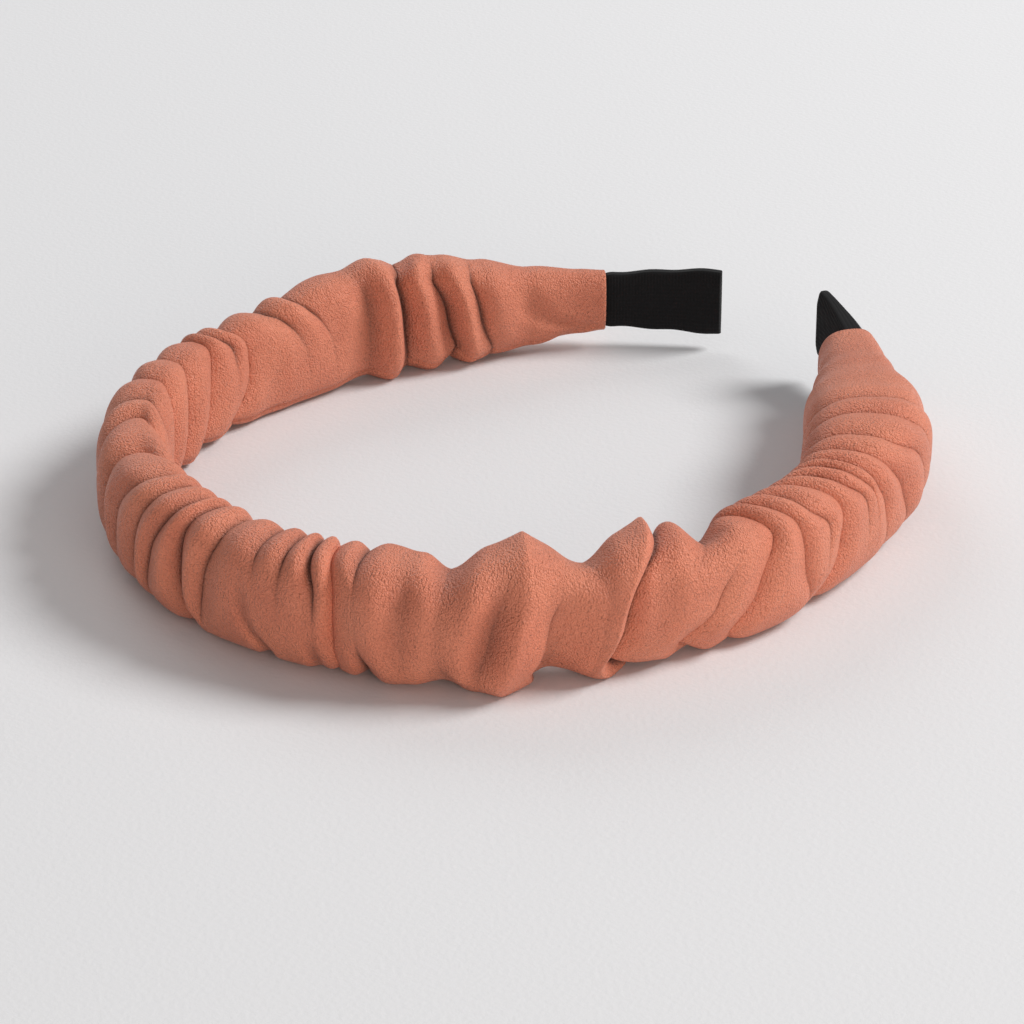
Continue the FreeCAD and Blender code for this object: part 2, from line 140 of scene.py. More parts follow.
# Creases, in order along the path. Place at each key angle. Depth at each key angle. Crispness,
# overhang (+ when the side nearer the left end laps over it), reach to the left and to the right.
CREASES = (
    ((-157, -154.4, -152.3, -153, -155, -156, -156, -156),
     (.9, 1.8, 1.3, .1, 0, 0, 0, 0),
     .7, 0, 6, 3),
    ((-149.5, -147.3, -144.3, -145, -146, -147, -147, -147),
     (2.0, 2.5, 1.9, .2, .2, .2, .2, .2),
     .5, -.3, 4, 4),
    ((-138.5, -137.8, -136.6, -138, -139, -140, -140, -140),
     (1.1, 1.8, 1.8, 1.1, .5, .3, .2, .2),
     .45, .2, 3.5, 2.5),
    ((-129.5, -130, -129, -127.5, -128, -130, -131, -131),
     (1.0, 1.7, 1.3, .4, .3, .3, .3, .3),
     .1, 0, 4, 7),
    ((-121, -120, -116, -113.8, -113.5, -115, -116, -116),
     (0, .3, 1.3, 1.2, .8, .4, .2, .2),
     .6, 0, 5, 4),
    ((-114, -113, -109.5, -107.5, -107, -108, -109, -110),
     (0, .2, 1.2, 1.2, .8, .4, .2, .2),
     .6, 0, 4, 5),
    ((-92, -98, -97.5, -96, -97, -98, -98, -98),
     (1.6, 2.3, 2.1, 1.7, 1.3, .9, .6, .4),
     .85, -1.0, 6, 4),
    ((-88, -93, -94, -91.5, -91, -92, -92, -92),
     (0, .1, .9, 1.2, 1.0, .5, .2, .2),
     .6, 0, 3, 3),
    ((-80.5, -84.5, -87, -88, -88.5, -88.5, -88.5, -88),
     (1.8, 2.3, 2.1, 1.6, 1.3, 1, .8, .6),
     .85, -1.0, 6, 4),
    ((-71, -74.5, -77, -78, -79, -80, -80, -79),
     (1.6, 2.1, 2.0, 1.5, 1.2, 1, .8, .6),
     .85, -.9, 6, 4),
    ((-62.5, -65.5, -68, -69, -70.5, -71, -71, -70),
     (1.3, 1.8, 1.9, 1.6, 1.4, 1.2, .8, .6),
     .85, -.9, 5, 4),
    ((-55, -56, -57.5, -61, -60, -58, -57, -57),
     (.2, .4, .9, 1.1, 1.0, .7, .4, .2),
     .6, -.3, 4, 4),
    ((-48, -47.5, -48.5, -54, -51, -48.5, -47, -46.5),
     (.3, .8, 1.4, 1.6, 1.7, 1.6, 1.1, .4),
     .75, -.7, 5, 4),
    ((-30.5, -31, -33, -39.5, -39.5, -38.3, -37.5, -36.5),
     (.8, 1.2, 2.0, 2.3, 2.4, 2.3, 1.9, 1.1),
     .9, -1.2, 6, 5),
    ((-25, -25, -25.2, -25.8, -27.3, -29.3, -31, -32.5),
     (.4, .8, 1.2, 1.4, 1.6, 1.6, 1.4, .6),
     .75, -.6, 4, 4),
    ((-19.5, -19, -19, -19.5, -20.2, -21.2, -22.6, -24),
     (.4, .8, 1.3, 1.5, 1.7, 1.7, 1.7, 1.2),
     .8, -.5, 4, 3),
    ((-13, -12.5, -12.2, -12.8, -13.8, -15.5, -18.4, -20),
     (.4, .8, 1.2, 1.3, 1.5, 1.6, 1.4, .5),
     .7, -.4, 3, 3),
    ((-9, -8.7, -8.7, -9, -9.4, -10.1, -10.6, -8.4),
     (.4, .8, 1.1, 1.3, 1.6, 2.3, 2.8, 2.0),
     .7, -.5, 5, 3),
    ((-3, -2.6, -2.5, -2.2, -2.2, -3.2, -4.6, -5),
     (.4, .7, 1.1, 1.2, 1.5, 1.6, 1.2, .1),
     .6, -.3, 4, 4),
    ((5, 5.3, 5.6, 5.7, 6, 6.5, 6.5, 6.5),
     (0, .3, .8, .8, .6, .2, 0, 0),
     .6, 0, 3, 3),
    ((10, 10.3, 10.6, 10.7, 10.9, 11, 11, 11),
     (0, .3, .9, .9, .8, .4, 0, 0),
     .7, 0, 3, 2),
    ((13, 13.2, 13.6, 14.2, 15.4, 16.8, 17, 17),
     (0, .4, 1.1, 1.2, 1.5, 1.1, .2, 0),
     .8, 0, 3, 2),
    ((17.5, 17, 16.9, 18, 19.7, 20, 20.2, 21.2),
     (.6, 1.6, 2.3, 2.5, 2.8, 2.9, 2.9, 1.2),
     1, -.8, 3.5, 4),
    ((23.5, 23, 22.9, 23, 23.3, 23.6, 24, 25),
     (.3, .6, 1.1, 1.0, .6, .2, .2, 1.3),
     .6, 0, 2, 3),
    ((36.5, 37, 37.6, 37.4, 37, 36.6, 36, 37),
     (.4, .8, 1.6, 1.5, 1.1, .6, .4, 1.1),
     .1, 0, 4, 5),
    ((47.5, 47.8, 48.2, 47.6, 46.8, 45.6, 43.6, 41.5),
     (.2, .3, .1, .1, .8, 1.6, 1.9, .3),
     .1, 0, 6, 5),
    ((52, 53, 54.5, 55, 55.5, 55, 51.8, 49.2),
     (0, 0, 0, 0, 0, .1, 1.1, 2.2),
     .9, 1.1, 4, 5),
    ((59, 59.5, 60, 60.5, 61.3, 62.3, 61, 59.5),
     (.4, .8, 1.6, 1.4, .7, .1, 0, 0),
     .15, 0, 5, 6),
    ((74, 74.5, 75, 72, 68.3, 66.2, 64.2, 61.3),
     (.1, .2, .4, 1.2, 2.4, 2.7, 2.7, 2.5),
     1, .7, .9, 6),
    ((82, 82.5, 83, 82.5, 80, 77, 73, 68),
     (.6, 1.2, 2.4, 2.0, .8, .2, 0, 0),
     .2, 0, 5, 5),
    ((86, 86, 86, 86, 86, 85, 80.6, 74),
     (0, 0, 0, 0, 0, 0, .9, 2.0),
     .9, 1.1, 4, 4),
    ((88, 88, 88.7, 92, 93.7, 92.5, 88.7, 84),
     (.4, .9, 1.6, 2.2, 2.5, 2.5, 2.4, 2.1),
     .95, 1.4, 5, 4),
    ((92, 92, 93, 96.6, 98.7, 99, 99.4, 102),
     (.4, .8, 1.4, 1.8, 2.1, 2.2, 1.7, .3),
     .9, 1.1, 4, 3),
    ((97, 97, 98.2, 102.3, 102.8, 106.8, 105, 104),
     (.2, .5, 1.2, 1.6, 1.6, .9, .1, 0),
     .8, .7, 3, 3),
    ((102, 102.5, 104, 108.5, 110.8, 111.1, 109.8, 105.6),
     (.3, .8, 1.5, 2.0, 2.3, 2.4, 2.3, 2.0),
     .95, 1.4, 5, 4),
    ((108, 108, 109.5, 113.8, 115.2, 118.5, 118, 117),
     (.2, .5, 1.2, 1.6, 1.6, .7, .1, 0),
     .85, .8, 3, 3),
    ((113.5, 113.5, 114.5, 117.8, 119.2, 121.2, 121.5, 121),
     (.2, .5, 1.1, 1.4, 1.2, .5, .1, 0),
     .85, .7, 3, 3),
    ((117, 117.5, 118.5, 120.9, 122.3, 123.2, 126, 128),
     (.3, .7, 1.3, 1.7, 1.9, 2.0, 1.4, .4),
     .9, 1.0, 4, 4),
    ((122, 122.5, 123.7, 126, 127.6, 129.8, 134, 137),
     (.4, .8, 1.3, 1.7, 1.8, 1.9, 1.5, .5),
     .9, 1.0, 4, 4),
    ((128, 128.8, 130, 132.8, 134.3, 139, 143, 144),
     (.4, .8, 1.2, 1.6, 1.6, 1.3, .5, .1),
     .9, .8, 4, 4),
    ((138, 138.5, 139.5, 143, 144.5, 147, 149, 150),
     (.4, .7, 1.2, 1.5, 1.4, .9, .3, .1),
     .85, .8, 4, 4),
    ((146, 146.8, 148, 151, 153, 155, 156, 156),
     (.3, .6, .9, 1.2, 1.1, .7, .3, .1),
     .7, .6, 4, 5),
)
HALVES_MEET = 22    # index of the deepest crease, where the left and right halves join

# Ridges (+) and hollows (-) over the gathers. Place at each key angle. Height at each key angle.
# Reach to the left and to the right, sharpness of the crest.
RIDGES = (
    ((-178, -166, -163, -160, -160, -160, -160, -160),
     (-.6, -.9, -.2, 0, 0, 0, 0, 0),
     5, 5, 0),
    ((-152.5, -151, -148.5, -148, -148, -148, -148, -148),
     (.7, .6, .4, 0, 0, 0, 0, 0),
     2.5, 2.5, 0),
    ((-144, -141.5, -139.8, -143.5, -144, -144, -144, -144),
     (.8, .7, .8, 1.0, .5, .2, .2, .2),
     4, 3.5, .1),
    ((-134.8, -134.6, -134, -132.5, -132, -132, -133, -134),
     (1.5, 1.3, 1.3, .9, .4, .2, .1, .1),
     3.5, 5.5, .25),
    ((-125, -124, -123, -122, -122, -122, -122, -122),
     (-.4, -.9, -.2, .6, .6, .3, 0, 0),
     6, 6, 0),
    ((-104, -104, -103, -102, -102, -102, -102, -102),
     (-.3, -.8, -.3, .6, .4, .2, 0, 0),
     5, 5, 0),
    ((27, 26.5, 26, 26, 26, 26, 27, 29),
     (.3, .5, .8, .8, .9, 1.1, .9, 1.0),
     5, 6, 0),
    ((31, 31, 31, 31, 31, 30.5, 30, 30),
     (0, 0, 0, 0, -.6, -1.2, -.9, -.1),
     4, 4, 0),
    ((35, 35, 35, 35, 35, 35, 34.5, 34.5),
     (0, 0, 0, 0, .5, .9, .9, .6),
     4, 5, 0),
    ((41, 41, 41, 41, 40.5, 40, 39.5, 38.5),
     (0, 0, 0, 0, .2, .4, .3, 0),
     4, 5, 0),
    ((50, 50, 50.2, 50, 49.6, 49, 47.6, 45.4),
     (.4, 1.4, 4.3, 3.7, 2.5, 2.0, 2.1, 2.2),
     13, 8, .75),
    ((54, 54, 54, 54, 54, 54, 54, 53.5),
     (0, 0, 0, 0, 0, -.3, -1.4, -3.4),
     4.5, 8, 0),
    ((73.4, 73.9, 74.4, 71.4, 67.7, 65.6, 63.6, 60.7),
     (.5, 1.6, 4.2, 3.2, 2.2, 1.9, 1.8, 1.8),
     14, 1.4, .75),
    ((72.5, 72.5, 72.5, 72.5, 72.5, 72, 71, 70),
     (0, 0, 0, 0, -.6, -.8, -.4, 0),
     3, 4, 0),
    ((78, 78, 78, 77.5, 78, 77, 77, 77),
     (.1, .6, 2.4, .9, .3, .5, .2, -1.2),
     4, 6, 0),
    ((4, 4, 4, 4, 4, 4, 5, 8.4),
     (0, 0, 0, 0, 0, 0, -.7, -1.1),
     2, 2, 0),
    ((16, 16, 16, 16, 16, 16, 16, 17),
     (0, 0, 0, 0, 0, 0, -.1, -1.0),
     2, 2, 0),
)

# Camera of the main view. Azimuth 0 looks at the crown, and grows towards the right arm.
AIM = (16.72, -22.8, 10.5)
AZIMUTH, ELEVATION = 39.47, 26.0
DISTANCE = 707.2
LENS, SENSOR = 140.625, 36.0
NEAREST, FARTHEST = 0.05, 50.0      # metres

# Lights: name, azimuth from the camera, elevation, distance and size in metres, watts, colour.
LIGHTS = (
    ("key", 100.0, 42.0, 2.4, 1.05, 49.0, (1, 1, 1)),
    ("window", -155.0, 32.0, 2.0, 1.2, 9.0, (1, 1, 1)),
    ("fill", 20.0, 11.0, 1.9, 1.2, 15.0, (1.0, 0.87, 0.78)),
)
STUDIO_COLOUR, STUDIO_STRENGTH = (236, 236, 238), 0.33
FLOOR_COLOUR, FLOOR_SIZE = (226, 226, 227), 8.0


# ---------------------------------------------------------------- path and section

def path(s):
    """Centre x, y and heading at signed lengths s from the crown, in the plane of the hoop."""
    far = np.abs(s)
    x, y, heading = np.zeros_like(far), np.zeros_like(far), np.zeros_like(far)
    x0, y0, h0, begin = 0.0, 0.0, 0.0, 0.0
    for index, (radius, turn) in enumerate(ARCS):
        last = index == len(ARCS) - 1
        sweep = (far - begin) / radius
        here = (far >= begin) & ((sweep <= math.radians(turn)) | last)
        h = h0 + sweep
        x = np.where(here, x0 + radius * (np.sin(h) - math.sin(h0)), x)
        y = np.where(here, y0 + radius * (math.cos(h0) - np.cos(h)), y)
        heading = np.where(here, h, heading)
        h1 = h0 + math.radians(turn)
        x0 += radius * (math.sin(h1) - math.sin(h0))
        y0 += radius * (math.cos(h0) - math.cos(h1))
        begin += radius * math.radians(turn)
        h0 = h1
    return np.sign(s) * x, y + CROWN_Y, heading


def place(s, u, z):
    """Points at path length s, offset u outward, at height z."""
    s, u, z = np.broadcast_arrays(np.asarray(s, float), u, z)
    x, y, heading = path(s)
    side = np.where(s >= 0, 1.0, -1.0)
    return np.stack([x + u * side * np.sin(heading), y - u * np.cos(heading), z], axis=-1)


def smooth(t):
    """Eases from 0 to 1 as t goes from 0 to 1."""
    t = np.clip(t, 0.0, 1.0)
    return t * t * (3.0 - 2.0 * t)


def sleeve_size(s):
    """Reach inward, reach outward, middle and half height at s, eased between the sizes."""
    knots = [size[0] for size in SLEEVE_SIZES]
    spot = np.clip(np.searchsorted(knots, s, side="right") - 1, 0, len(knots) - 2)
    low = np.array(SLEEVE_SIZES)[spot]
    high = np.array(SLEEVE_SIZES)[spot + 1]
    run = smooth((s - low[..., 0]) / (high[..., 0] - low[..., 0]))[..., None]
    size = low[..., 1:] + (high - low)[..., 1:] * run
    reach_in, reach_out, bottom, top = np.moveaxis(size, -1, 0)
    return reach_in, reach_out, (bottom + top) / 2.0, (top - bottom) / 2.0


def section_angles(count, half_width, half_height):
    """Angles of a superellipse that are evenly spaced along its outline."""
    fine = np.linspace(0.0, 2.0 * math.pi, OUTLINE_STEPS)
    u, z = superellipse(fine, half_width, half_width, half_height)
    run = np.concatenate([[0.0], np.cumsum(np.hypot(np.diff(u), np.diff(z)))])
    return np.interp(np.arange(count) / count * run[-1], run, fine)


def superellipse(angle, reach_in, reach_out, half_height):
    """Offset outward and height above the middle of the section, at an angle."""
    c, s = np.cos(angle), np.sin(angle)
    power = 2.0 / SQUARENESS
    reach = np.where(c >= 0, reach_out, reach_in)
    return reach * np.sign(c) * np.abs(c) ** power, half_height * np.sign(s) * np.abs(s) ** power


def section_normal(angle, reach_in, reach_out, half_height):
    """Unit normal of the section at an angle."""
    c, s = np.cos(angle), np.sin(angle)
    power = 2.0 - 2.0 / SQUARENESS
    reach = np.where(c >= 0, reach_out, reach_in)
    nu = np.sign(c) * np.abs(c) ** power / reach
    nz = np.sign(s) * np.abs(s) ** power / half_height
    size = np.hypot(nu, nz)
    return nu / size, nz / size


# ---------------------------------------------------------------- folds

def round_section(values, angles):
    """Values at the key angles and underneath, eased round the section."""
    keys = np.radians(np.array(KEY_ANGLES + (UNDER_ANGLE,)) % 360.0)
    under = (values[0] + values[-1]) / 2.0
    known = np.array(tuple(values) + (under,), float)
    order = np.argsort(keys)
    around = np.interp(angles, keys[order], known[order], period=2.0 * math.pi)
    span = np.arange(-EASE_SPAN, EASE_SPAN + 1)
    weight = np.exp(-(span / EASE_WIDTH) ** 2)
    weight /= weight.sum()
    return sum(w * np.roll(around, k) for k, w in zip(span, weight))


def pillow(x, crisp):
    """0 in a crease (x 0) to 1 on the flat (x 1): round and steep if crisp, else gentle."""
    x = np.clip(x, 0.0, 1.0)
    steep = np.sqrt(np.clip(1.0 - (1.0 - x) ** 2, 0.0, 1.0))
    gentle = 0.5 - 0.5 * np.cos(math.pi * x)
    return crisp * steep + (1.0 - crisp) * gentle


def value_noise(s, angle, wave_s, waves_round, seed):
    """Smooth noise from -1 to 1 over the sleeve, the same every run."""
    rng = np.random.default_rng(seed)
    columns = max(3, int(waves_round))
    lattice = rng.uniform(-1.0, 1.0, (int(2.0 * HALF_LENGTH / wave_s) + 4, columns))
    a = (s + HALF_LENGTH) / wave_s + 1.0
    b = (angle / (2.0 * math.pi)) % 1.0 * columns
    i, j = np.floor(a).astype(int), np.floor(b).astype(int)
    fa, fb = smooth(a - i), smooth(b - j)
    j0, j1 = j % columns, (j + 1) % columns
    top = lattice[i, j0] * (1 - fb) + lattice[i, j1] * fb
    bottom = lattice[i + 1, j0] * (1 - fb) + lattice[i + 1, j1] * fb
    return top * (1 - fa) + bottom * fa


class Folds:
    """The sleeve's creases and ridges at the mesh's angles round the section."""

    def __init__(self, angles):
        self.places = np.array([round_section(c[0], angles) for c in CREASES])
        for k in range(1, len(CREASES)):
            self.places[k] = np.maximum(self.places[k], self.places[k - 1] + LEAST_APART)
        self.depths = np.array([round_section(c[1], angles) for c in CREASES])
        self.ridges = [
            (round_section(places, angles), round_section(heights, angles), low, high, sharp)
            for places, heights, low, high, sharp in RIDGES
        ]

    def reaches(self, k, side):
        """How far crease k acts on one side, before the next crease takes over."""
        own = CREASES[k][4 if side < 0 else 5]
        other = k + side
        if not 0 <= other < len(CREASES):
            return np.full(self.places.shape[1], float(own))
        gap = np.abs(self.places[other] - self.places[k])
        taken = smooth(self.depths[other] / TAKEOVER_DEPTH)
        shared = np.minimum(REACH_SCALE * own, GAP_SHARE * gap)
        return REACH_SCALE * own * (1.0 - taken) + shared * taken

    def shape(self, s):
        """Outward displacement and shift along the path at s, a row of s per angle."""
        rise = np.zeros_like(s)
        shift = np.zeros_like(s)
        for k, (_places, _depths, crisp, over, _low, _high) in enumerate(CREASES):
            away = s - self.places[k]
            for side in (-1, 1):
                reach = self.reaches(k, side)
                x = side * away / reach
                here = (x > 0 if side > 0 else x >= 0) & (x < 1)
                hollow = FOLD_DEPTH * self.depths[k] * (1.0 - pillow(x, crisp))
                rise -= np.where(here, hollow, 0.0)
                if over * side < 0:
                    lip = (x / LIP_PEAK) * np.exp(1.0 - x / LIP_PEAK) * (1.0 - x) ** 2
                    strength = smooth(self.depths[k] / LEAN_FULL_DEPTH)
                    shift += np.where(here, FOLD_LEAN * over * strength * lip, 0.0)
        for place_k, height, low, high, sharp in self.ridges:
            away = s - place_k
            x = np.clip(np.where(away < 0, -away / low, away / high), 0.0, 1.0)
            crest = sharp * (1.0 - x) ** RIDGE_POWER + (1.0 - sharp) * (1.0 - x * x) ** 2
            rise += height * crest
        return rise, shift


def fold_rows(folds, first, last, ends):
    """Rows of s per angle that follow the creases, from crease first to crease last."""
    lines = list(folds.places[first:last + 1])
    if ends[0] is not None:
        lines.insert(0, np.full(AROUND, ends[0]))
    if ends[1] is not None:
        lines.append(np.full(AROUND, ends[1]))
    rows = []
    for low, high in zip(lines, lines[1:]):
        gap = np.max(high - low)
        count = int(np.clip(math.ceil(gap / ROW_STEP), ROWS_LEAST, ROWS_MOST))
        t = np.arange(count) / count
        if gap < WIDE_GAP:
            t = EVEN_SHARE * t + EASED_SHARE * (0.5 - 0.5 * np.cos(math.pi * t))
        rows += [low + (high - low) * k for k in t]
    rows.append(lines[-1])
    return np.array(rows)


def sleeve_rise(rows, angles, folds):
    """How far the gathers stand out, and how far they lean along the path."""
    rise, shift = folds.shape(rows)
    taper = smooth(np.minimum(rows - SLEEVE_LEFT, SLEEVE_RIGHT - rows) / CUFF_CALM)
    for step, (amplitude, wave_s, waves_round) in enumerate((PUFFS, DIMPLES)):
        rise += taper * amplitude * value_noise(rows, angles, wave_s, waves_round, SEED + step)
    from_seam = (np.degrees(angles) % 360.0 - SEAM_ANGLE) / SEAM_SPREAD
    rise -= taper * SEAM_DEPTH * np.exp(-from_seam ** 2)
    return rise, shift


def fold_shade_relief(rows, rise):
    """0 deep in a fold to 1 on a crest, 0.5 where the leather is level: the mask of the leather's
    painted shade.
    """
    line = np.arange(rows.min() - RELIEF_MARGIN, rows.max() + RELIEF_MARGIN, RELIEF_STEP)
    span = np.arange(-RELIEF_SPAN, RELIEF_SPAN + 1)
    weight = np.exp(-(span * RELIEF_STEP / RELIEF_WIDTH) ** 2)
    weight /= weight.sum()
    level = np.empty_like(rise)
    for j in range(rows.shape[1]):
        even = np.interp(line, rows[:, j], rise[:, j])
        level[:, j] = np.interp(rows[:, j], line, np.convolve(even, weight, mode="same"))
    return np.clip(LEVEL_RELIEF + (rise - level) / RELIEF_RANGE, 0.0, 1.0)


def on_sleeve(rows, angles, rise, shift, narrow=1.0):
    """Points that stand this far out of the sleeve's section, kept off the table."""
    reach_in, reach_out, middle, half = sleeve_size(rows)
    u, z = superellipse(angles, reach_in, reach_out, half)
    nu, nz = section_normal(angles, reach_in, reach_out, half)
    z = middle + z + rise * nz
    z = 0.5 * (z + np.sqrt(z * z + TABLE_EASE ** 2))
    return place(rows + shift, (u + rise * nu) * narrow, z)


def relax(points):
    """Evens the mesh a little, so that the folds read as soft material."""
    along = (points[2:] + points[:-2]) / 2.0
    across = (np.roll(points, 1, axis=1) + np.roll(points, -1, axis=1)) / 2.0
    eased = points.copy()
    eased[1:-1] += RELAX_SHARE * (0.5 * (along + across[1:-1]) - points[1:-1])
    return eased


def lining_rows(rows, rise, angles):
    """The sleeve's inner face: a coarser tube under the lowest fold nearby."""
    middle = rows.mean(axis=1)
    spots = np.arange(middle[0], middle[-1], LINING_STEP)
    chosen = [int(np.argmin(np.abs(middle - spot))) for spot in spots] + [len(rows) - 1]
    lining = []
    for index in chosen:
        near = np.abs(middle - middle[index]) <= 1.5 * LINING_STEP
        lowest = rise[near].min(axis=0)
        lowest = np.minimum(lowest, np.minimum(np.roll(lowest, 1), np.roll(lowest, -1)))
        hem = smooth(1.0 - (SLEEVE_RIGHT - middle[index]) / HEM_LENGTH)
        under = lowest - LEATHER_THICK
        lining.append(on_sleeve(rows[index], angles, under, 0.0, 1.0 - HEM_PULL * hem))
    return np.array(lining)


def sleeve_half(name, folds, angles, left):
    """One half of the sleeve, from a cuff to the deepest crease, with its inner face."""
    if left:
        rows = fold_rows(folds, 0, HALVES_MEET, (SLEEVE_LEFT, None))
    else:
        rows = fold_rows(folds, HALVES_MEET, len(CREASES) - 1, (None, SLEEVE_RIGHT))
    rise, shift = sleeve_rise(rows, angles, folds)
    outside = relax(on_sleeve(rows, angles, rise, shift))
    relief = fold_shade_relief(rows, rise)
    lining = lining_rows(rows, rise, angles)
    cuff, other = (0, -1) if left else (-1, 0)
    towards = 1 if left else -1
    rim_along = outside[cuff] - outside[cuff + towards]
    rim_along /= np.linalg.norm(rim_along, axis=1)[:, None]
    rim = (outside[cuff] + lining[cuff]) / 2.0 + rim_along * LEATHER_THICK / 2.0
    parts = [outside, lining[::-1], rim[None]] if left else [outside, rim[None], lining[::-1]]
    piece = grid_mesh(name, np.concatenate(parts), loop=True)
    # The depth in the folds is kept on the mesh, for the painted shade in the leather's colour.
    level = np.full(len(piece.data.vertices), LEVEL_RELIEF)
    level[:relief.size] = relief.ravel()
    attribute = piece.data.attributes.new("fold_shade_relief", "FLOAT", "POINT")
    attribute.data.foreach_set("value", level)
    return piece


def grid_mesh(name, points, loop=False):
    """A mesh from rows of points, closed round each row (and, with loop, from the last row
    back to the first), with UVs in metres."""
    count, columns = points.shape[:2]
    bands = count if loop else count - 1
    i, j = np.divmod(np.arange(bands * columns), columns)
    i1, j1 = (i + 1) % count, (j + 1) % columns
    corners = [i * columns + j, i1 * columns + j, i1 * columns + j1, i * columns + j1]
    faces = np.stack(corners, axis=1)
    mesh = bpy.data.meshes.new(name)
    mesh.from_pydata((points.reshape(-1, 3) * MM).tolist(), [], faces.tolist())
    steps = np.linalg.norm(np.roll(points, -1, axis=0) - points, axis=2).mean(axis=1)
    length = np.concatenate([[0.0], np.cumsum(steps)])
    steps = np.linalg.norm(np.roll(points, -1, axis=1) - points, axis=2).mean(axis=0)
    width = np.concatenate([[0.0], np.cumsum(steps)])
    places = np.empty((len(faces), 4, 2))
    for corner, (di, dj) in enumerate(((0, 0), (1, 0), (1, 1), (0, 1))):
        places[:, corner, 0] = length[i + di] * MM
        places[:, corner, 1] = width[j + dj] * MM
    mesh.uv_layers.new(name="UVMap").data.foreach_set("uv", places.ravel())
    mesh.polygons.foreach_set("use_smooth", [True] * len(faces))
    mesh.update()
    piece = bpy.data.objects.new(name, mesh)
    bpy.context.scene.collection.objects.link(piece)
    return piece


# ---------------------------------------------------------------- materials

PEBBLES_PER_METRE = 2900.0
PEBBLE_WARP = 0.0003        # metres
WRINKLES_PER_METRE = (3000.0, 1000.0, 1.0)      # along the hoop, round it


def material(name):
    """A new node material: itself, its nodes, its links and its shader."""
    made = bpy.data.materials.new(name)
    made.use_nodes = True
    nodes = made.node_tree.nodes
    shader = nodes["Principled BSDF"]
    return made, nodes, made.node_tree.links, shader


def srgb(red, green, blue):
    """Linear colour from 0-255 display values."""
    def linear(value):
        v = value / 255.0
        return v / 12.92 if v <= 0.04045 else ((v + 0.055) / 1.055) ** 2.4
    return (linear(red), linear(green), linear(blue), 1.0)


def node(nodes, kind, **inputs):
    """A new node with these input values, with _ for a space in an input's name."""
    made = nodes.new(kind)
    for key, value in inputs.items():
        made.inputs[key.replace("_", " ")].default_value = value
    return made


def ramp(nodes, stops):
    """A colour ramp from pairs of position and colour."""
    made = nodes.new("ShaderNodeValToRGB")
    elements = made.color_ramp.elements
    while len(elements) < len(stops):
        elements.new(0.5)
    for element, (position, colour) in zip(elements, stops):
        element.position = position
        element.color = colour
    return made


def grey(value):
    return (value, value, value, 1.0)


def bump(nodes, links, height, strength, distance, under=None):
    """A bump from a height socket, on top of the bump under it."""
    made = node(nodes, "ShaderNodeBump", Strength=strength, Distance=distance)
    links.new(height, made.inputs["Height"])
    if under:
        links.new(under.outputs["Normal"], made.inputs["Normal"])
    return made


def multiply(nodes, links, first, second):
    """The product of two colour sockets."""
    made = nodes.new("ShaderNodeMix")
    made.data_type = "RGBA"
    made.blend_type = "MULTIPLY"
    made.inputs["Factor"].default_value = 1.0
    links.new(first, made.inputs["A"])
    links.new(second, made.inputs["B"])
    return made.outputs["Result"]


